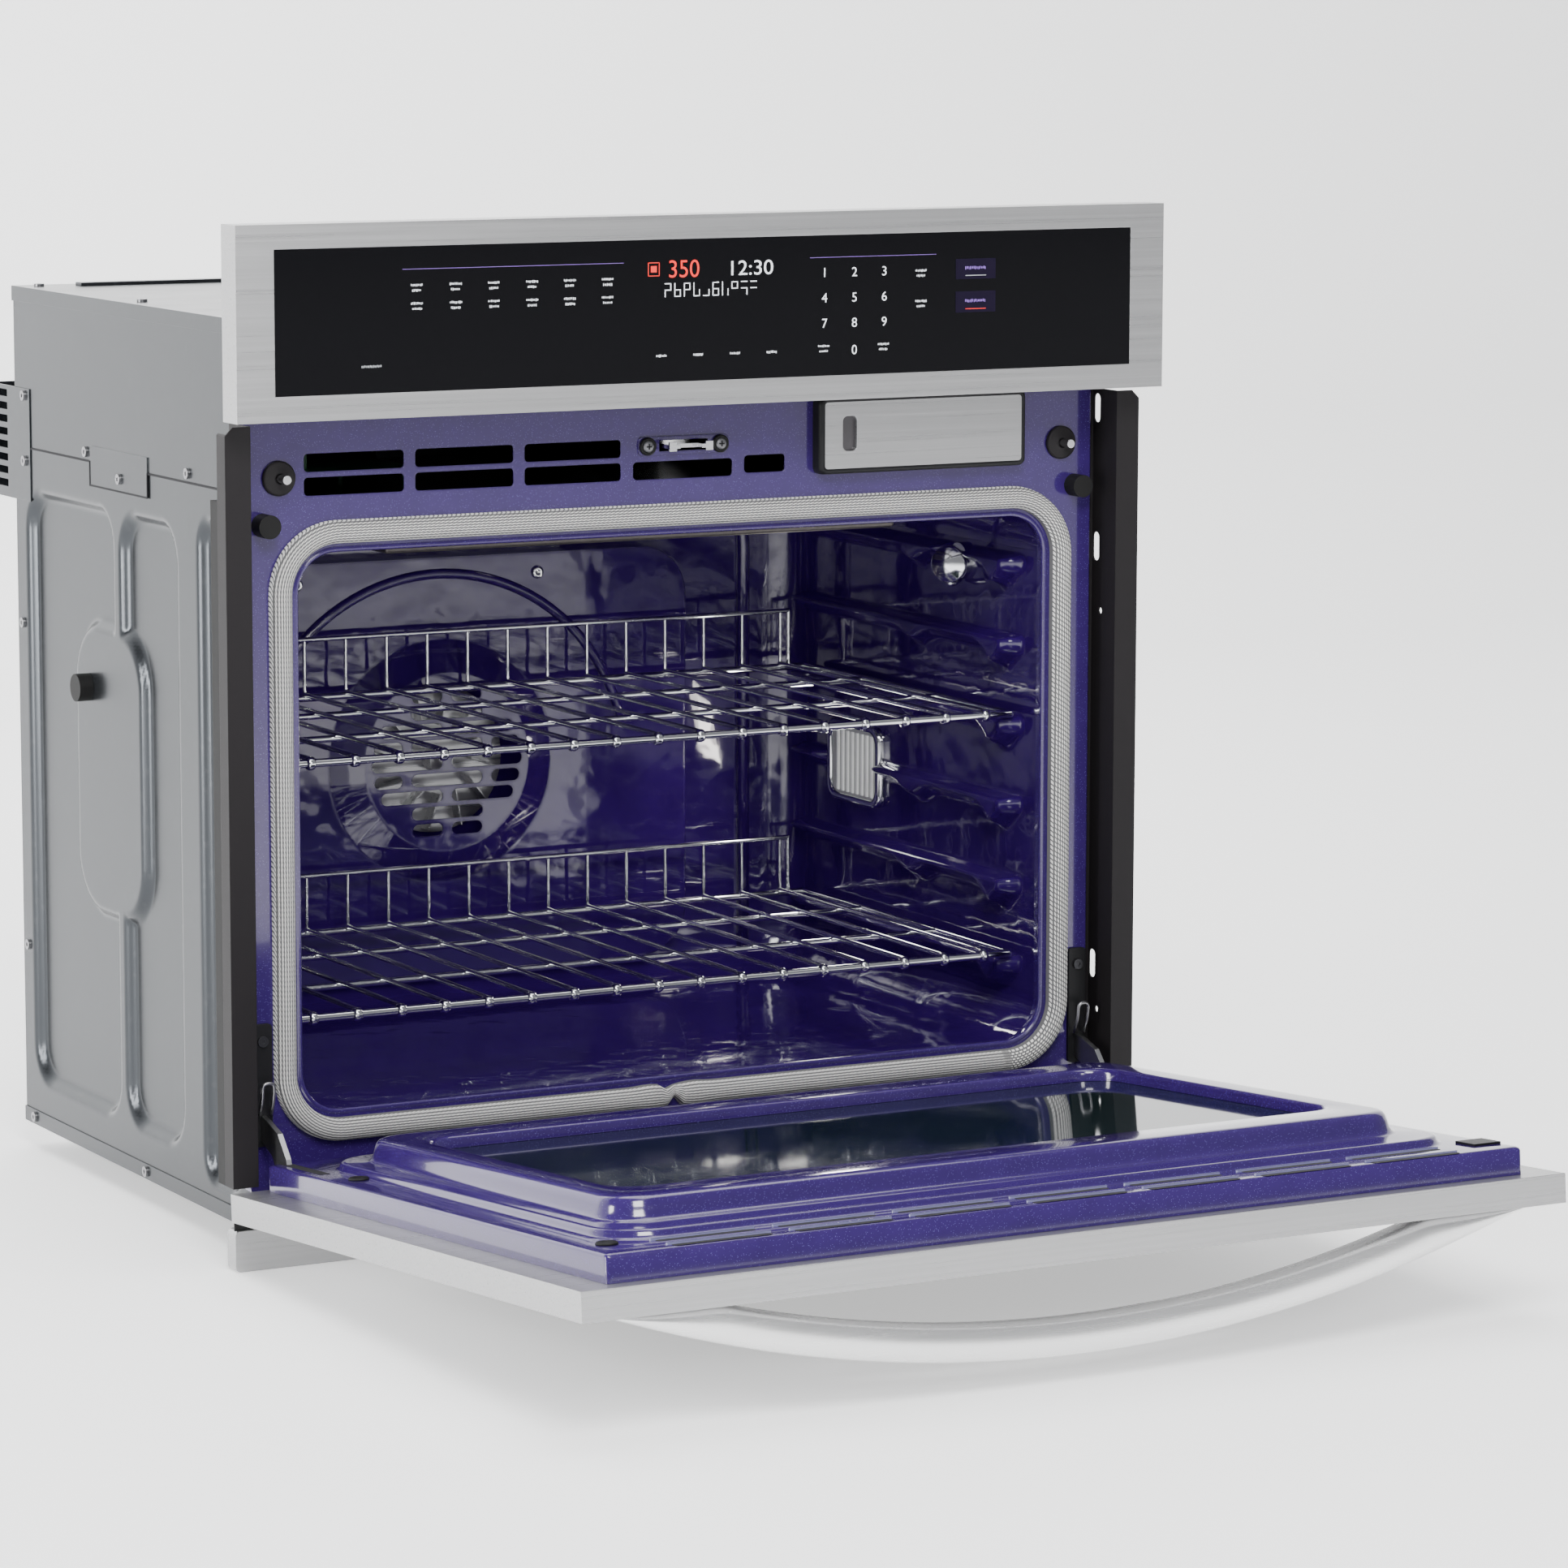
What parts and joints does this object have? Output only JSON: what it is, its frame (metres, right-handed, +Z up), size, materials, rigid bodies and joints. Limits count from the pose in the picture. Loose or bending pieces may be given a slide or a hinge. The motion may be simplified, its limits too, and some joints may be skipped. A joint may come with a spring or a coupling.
{
  "type": "built-in wall oven",
  "caption": "Built-in single wall oven with a glass control panel, drop-down door, enamelled cavity, wire racks, fan baffle, water tank and sheet-steel chassis.",
  "frame": {"origin": "centre of the chassis base's flat underside, where it stands on the cabinet shelf", "axes": "+X to the right seen from the front, +Y from the front into the cabinet, +Z up"},
  "size_m": [0.756, 1.1048, 0.7475],
  "materials": {
    "galvanised": "zinc coated, satin",
    "enamel": "gloss vitreous enamel",
    "stainless": "brushed",
    "charcoal_paint": "satin",
    "black_paint": "satin",
    "panel_glass": "polished, dark",
    "window_glass": "polished",
    "lamp_glass": "ribbed",
    "chrome": "polished",
    "zinc_screw": "plated",
    "dark_screw": "black oxide",
    "rubber": "matte",
    "gasket": "braided glass fibre",
    "insulation": "mineral wool",
    "black_plastic": "matte",
    "tank_plastic": "gloss",
    "heater": "oxidised",
    "aluminium": "cast",
    "circuit": "solder mask"
  },
  "bodies": {
    "oven": {"base_panel": "galvanised", "left_side_panel": "galvanised", "right_side_panel": "galvanised", "upper_covers": "galvanised", "top_panel": "galvanised", "rear_panel": "galvanised", "motor_cover": "galvanised", "conduit_fitting": "aluminium", "air_brackets": "galvanised", "deck": "galvanised", "insulation": "insulation", "cavity_liner": "enamel", "fan_cover": "enamel", "fan_motor": "aluminium", "ring_heater": "heater", "broil_element": "heater", "bake_element": "heater", "lamp_housing": "galvanised", "lamp_lens": "lamp_glass", "lamp_bulb": "lamp_glass", "probe_jack": "chrome", "temperature_sensor": "stainless", "front_frame": "enamel", "door_gasket": "gasket", "hinge_arms": "zinc_screw", "hinge_receivers": "black_paint", "plunger_housings": "charcoal_paint", "front_bumpers": "rubber", "latch_plate": "enamel", "side_trims": "charcoal_paint", "bottom_trim": "stainless", "bottom_flange": "black_paint", "panel_frame": "stainless", "panel_glass": "panel_glass", "panel_back": "galvanised", "control_board": "circuit", "power_board": "circuit", "blower_housing": "galvanised", "steam_boiler": "stainless", "tank_bay": "black_plastic", "side_bumpers": "rubber", "case_screws": "zinc_screw", "front_screws": "dark_screw"},
    "door": {"door_skin": "stainless", "door_glass": "panel_glass", "door_liner": "enamel", "door_window": "window_glass", "door_insulation": "insulation", "hinge_housings": "galvanised", "door_pads": "black_plastic", "door_handle": "stainless"},
    "lower_rack": {"rack_lower": "chrome"},
    "upper_rack": {"rack_upper": "chrome"},
    "tank": {"water_tank": "tank_plastic", "tank_front": "stainless"},
    "fan": {"convection_fan": "stainless"},
    "blower": {"blower_wheel": "aluminium"},
    "left_pin": {"left_plunger_pin": "chrome"},
    "right_pin": {"right_plunger_pin": "chrome"},
    "latch": {"latch_hook": "chrome"}
  },
  "joints": [
    {"name": "door_hinge", "type": "hinge", "parent": "oven", "child": "door", "pos_m": [0, -0.2754, 0.0311], "axis": [-1, 0, 0], "range_deg": [0, 85.25]},
    {"name": "lower_rack_slide", "type": "slide", "parent": "oven", "child": "lower_rack", "axis": [0, 1, 0], "range_m": [-0.25, 0]},
    {"name": "upper_rack_slide", "type": "slide", "parent": "oven", "child": "upper_rack", "axis": [0, 1, 0], "range_m": [-0.25, 0]},
    {"name": "water_tank_slide", "type": "slide", "parent": "oven", "child": "tank", "axis": [0, 1, 0], "range_m": [-0.15, 0]},
    {"name": "left_plunger_slide", "type": "slide", "parent": "oven", "child": "left_pin", "axis": [0, 1, 0], "range_m": [0, 0.008], "stiffness_N_per_m": 200},
    {"name": "right_plunger_slide", "type": "slide", "parent": "oven", "child": "right_pin", "axis": [0, 1, 0], "range_m": [0, 0.008], "stiffness_N_per_m": 200},
    {"name": "latch_slide", "type": "slide", "parent": "oven", "child": "latch", "axis": [0, 1, 0], "range_m": [0, 0.012]},
    {"name": "fan_spin", "type": "hinge", "parent": "oven", "child": "fan", "pos_m": [-0.015, 0.1764, 0.273], "axis": [0, 1, 0], "continuous": true},
    {"name": "blower_spin", "type": "hinge", "parent": "oven", "child": "blower", "pos_m": [0, 0.1324, 0.59], "axis": [1, 0, 0], "continuous": true}
  ]
}
